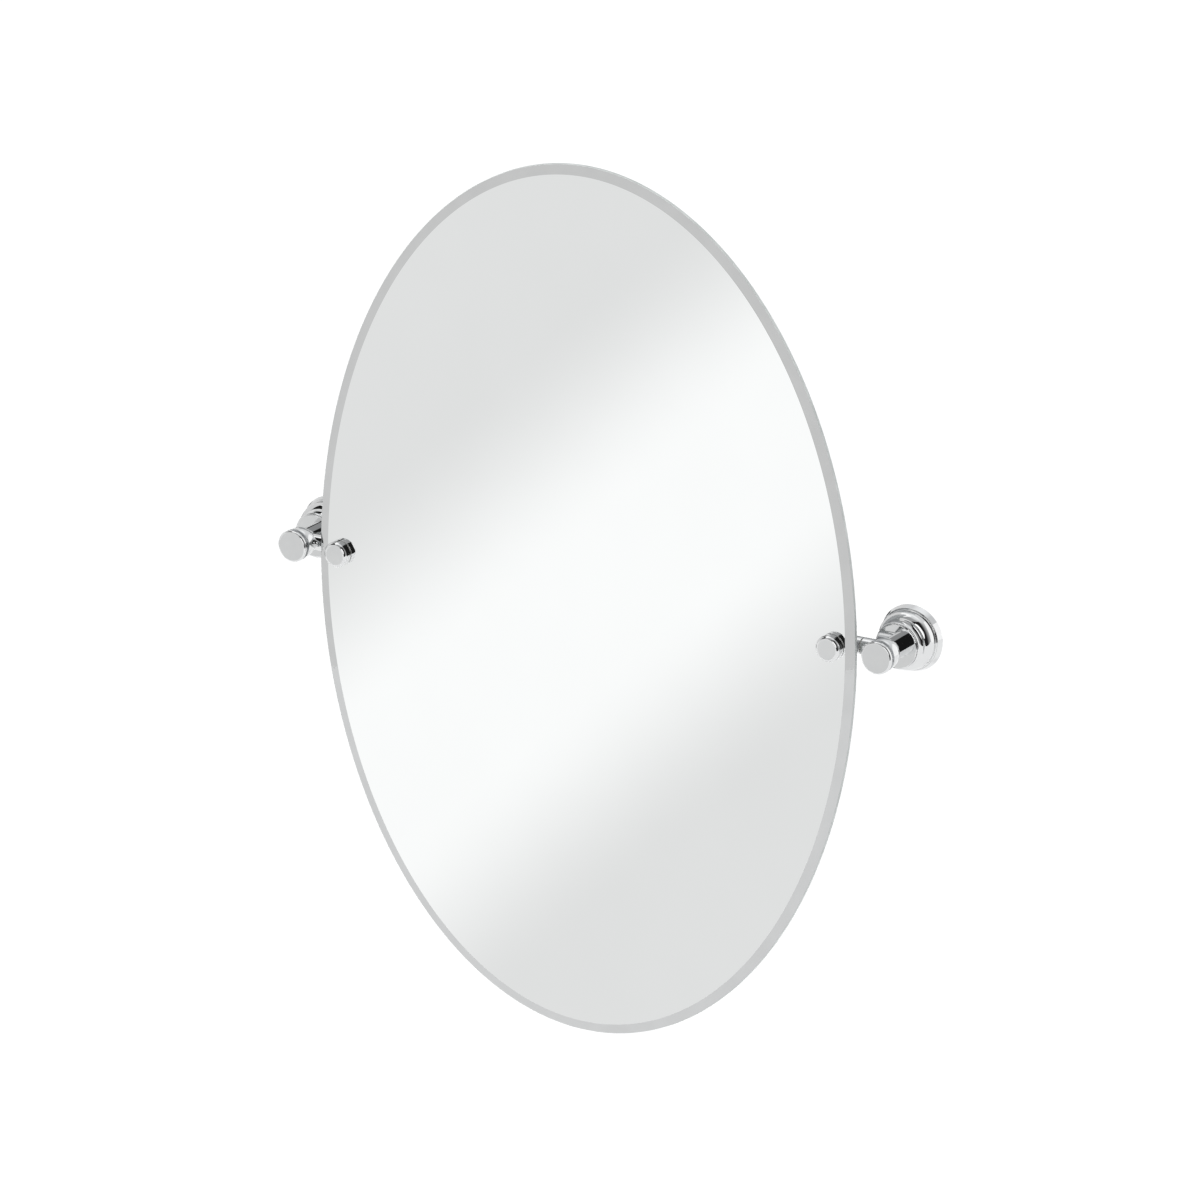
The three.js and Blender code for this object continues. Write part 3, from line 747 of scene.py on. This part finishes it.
def studio_cards():
    """Softboxes, black flags beside them, and low reflectors that light the bevel."""
    black = glowing("black_flag", strength=0.015)
    fading = graded("fading_flag", strengths=(0.015, 0.42), azimuths=(50, 84))
    front = graded("front_softbox", strengths=(1.6, 0.7), azimuths=(14, 31))
    left = glowing("left_softbox", strength=0.86, dimmest=0.94)
    tall = glowing("tall_softbox", strength=1.35, dimmest=0.92)
    rear = glowing("rear_softbox", strength=1.3, dimmest=0.9)
    blue = glowing("blue_reflector", strength=0.42, dimmest=0.8, colour=(0.94, 0.97, 1.0))
    low = glowing("low_reflector", strength=0.97, dimmest=0.97)
    cards = {  # material, how far nearer than the large cards, corners
        "left_flag": (black, 0, [
            (-84, 46), (-68, 54), (-51, 48), (-39, 34), (-33, 21), (-37, 13), (-48, 12),
            (-62, 18), (-74, 32),
        ]),
        "left_box": (left, 0.3, [
            (-138, -4), (-138, 30), (-122, 50), (-98, 55), (-79, 46), (-65, 30), (-56, 12),
            (-52, -6), (-70, -7), (-110, -6),
        ]),
        "back_low_flag": (black, 0.25, [
            (-176, -12), (-160, 2), (-140, 0), (-112, -8), (-84, -11), (-76, -17), (-90, -22),
            (-130, -23), (-168, -22),
        ]),
        "tall_box": (tall, -0.3, [
            (-36, 34), (-60, 40), (-125, 46), (-125, 84), (-22, 84), (-28, 50),
        ]),
        "front_flag": (fading, 0, [
            (-10, 12), (0, 30), (14, 42), (30, 53), (60, 60), (88, 48), (92, 20), (88, -2),
            (60, -12), (35, -16), (14, -17), (5, -13), (0, -4),
        ]),
        "front_box": (front, 0.3, [
            (-5, 9), (1, 19), (12, 24), (24, 19), (31, 11), (22, 0), (10, -7), (3, -1),
        ]),
        "right_low_strip": (low, 0.6, [
            (-13, 3), (-6, 4), (-1, -5), (3, -17), (-4, -20), (-10, -9),
        ]),
        "middle_low_strip": (low, 0.62, [
            (-42, 12), (-26, 15), (-12, 12), (-5, 5), (-8, -2), (-20, -1), (-34, -1), (-42, 0),
        ]),
        "left_low_strip": (low, 0.64, [
            (-40, 9), (-50, 6), (-62, -3), (-71, -13), (-66, -22), (-56, -20), (-46, -9), (-40, 0),
        ]),
        "rear_left_box": (blue, 0, [
            (-176, -6), (-174, 28), (-160, 36), (-140, 30), (-140, -6),
        ]),
        "rear_box": (rear, 0, [
            (108, -6), (106, 20), (118, 36), (150, 38), (164, 20), (164, -6),
        ]),
    }
    for name, (material, nearer, corners) in cards.items():
        far_card(name, corners, FAR - nearer, material)


def mirror_screen():
    """The screen that fills the mirror in the camera's view: grey, with a soft bright band.

    It faces the camera's mirror image, from which all its measures are angles in radians.
    """
    plain, bright = 0.815, 1.06
    tint = (0.994, 1.0, 0.999)
    band_slope = math.radians(40)
    core, fade = 0.0095, 0.038  # half widths of the band and of its fade
    half_wide, half_high, soft = 0.072, 0.108, 0.026  # half sizes, and the edge that fades out
    reach = CAMERA_DISTANCE + SCREEN_AHEAD

    material, nodes = bare_material("graded_screen")
    place = nodes.place()
    slope = (-math.sin(band_slope) / reach, math.cos(band_slope) / reach, 0)
    across = nodes.add("VectorMath", place, slope, operation="DOT_PRODUCT", result="Value")
    level = nodes.ranged(nodes.math("ABSOLUTE", across), bright, plain, core, fade, "SMOOTHSTEP")
    parts = nodes.outputs("SeparateXYZ", place)
    inside = []
    for axis, half in (("X", half_wide), ("Y", half_high)):
        offset, limits = nodes.math("ABSOLUTE", parts[axis]), ((half - soft) * reach, half * reach)
        inside.append(nodes.ranged(offset, 1.0, 0.0, *limits, "SMOOTHSTEP"))
    glow = nodes.add("Emission", (*tint, 1), level)
    share = nodes.math("MULTIPLY", *inside)
    nodes.show(nodes.add("MixShader", share, nodes.add("BsdfTransparent"), glow))

    silver_y = -GLASS_FRONT * MM
    eye = Vector((EYE.x, 2 * silver_y - EYE.y, EYE.z))
    away = Vector((-BACK.x, BACK.y, -BACK.z))
    right = Vector((RIGHT.x, -RIGHT.y, 0))
    up = Vector((UP.x, -UP.y, UP.z))
    turn = Matrix((right, up, right.cross(up))).transposed().to_4x4()
    made = staged("mirror_screen", sheet(half_wide * reach, half_high * reach), material)
    made.matrix_world = Matrix.Translation(eye + away * reach) @ turn


def floor():
    """A plain pale floor that stays white to the eye and keeps the object's shadow."""
    half, lift = 30, 0.18  # half size, and the light added to what the eye sees
    darkest, palest, patches = 0.80, 0.82, 3  # shades, and how many patches a metre
    material, nodes = bare_material("pale_floor")
    path = nodes.outputs("LightPath")
    seen = nodes.math("MAXIMUM", path["Is Camera Ray"], path["Is Glossy Ray"])
    shown = nodes.math("MAXIMUM", seen, path["Is Transmission Ray"])
    matt = nodes.add("BsdfDiffuse", nodes.ranged(nodes.noise(patches), darkest, palest))
    glow = nodes.add("Emission", (*WHITE, 1), nodes.math("MULTIPLY", shown, lift))
    nodes.show(nodes.add("AddShader", matt, glow))
    staged("floor", sheet(half, half, -FLOOR_DROP), material, shown=True)


def world():
    """White to the eye, an even room for the light, and for reflections a cool grey room.

    That room is brighter right overhead and behind the wall.
    """
    grey, top, behind_wall = 0.44, 0.95, 0.42  # strengths of that room, the last one added
    made = bpy.data.worlds.new("studio")
    bpy.context.scene.world = made
    nodes = Nodes(made, bare=True)
    path = nodes.outputs("LightPath")
    direction = nodes.outputs("SeparateXYZ", nodes.place("Generated"))
    overhead = nodes.ranged(direction["Z"], grey, top, start=0.8, end=0.97)
    behind = nodes.ranged(direction["Y"], 0.0, behind_wall, start=-0.1, end=0.5)
    walls = nodes.add("Background", (0.98, 0.99, 1.0, 1), nodes.math("ADD", overhead, behind))
    room = nodes.add("Background", (0.70, 0.705, 0.71, 1))
    white = nodes.add("Background", (*WHITE, 1))
    reflected = nodes.math("MAXIMUM", path["Is Glossy Ray"], path["Is Transmission Ray"])
    unseen = nodes.add("MixShader", reflected, room, walls)
    nodes.show(nodes.add("MixShader", path["Is Camera Ray"], unseen, white), "OutputWorld")


def sun(name, azimuth, elevation, strength, spread):
    """A soft distant lamp that lights the object and stays out of its reflections."""
    data = bpy.data.lights.new(name, "SUN")
    data.energy = strength
    data.angle = math.radians(spread)
    made = new_object(name, data)
    made.rotation_euler = heading(azimuth, elevation).to_track_quat("Z", "Y").to_euler()
    made.visible_glossy = False
    made.visible_transmission = False


world()
floor()
studio_cards()
mirror_screen()
sun("key_lamp", azimuth=-35, elevation=52, strength=1.5, spread=12)

# ---------- Camera ----------

lens = bpy.data.cameras.new("camera")
lens.sensor_width = 36
lens.lens = PIXELS_PER_RADIAN / PICTURE_WIDTH * lens.sensor_width
lens.clip_end = 100
viewer = new_object("camera", lens)
viewer.location = EYE
viewer.rotation_euler = BACK.to_track_quat("Z", "Y").to_euler()
bpy.context.scene.camera = viewer
bpy.context.scene.view_settings.view_transform = "Standard"
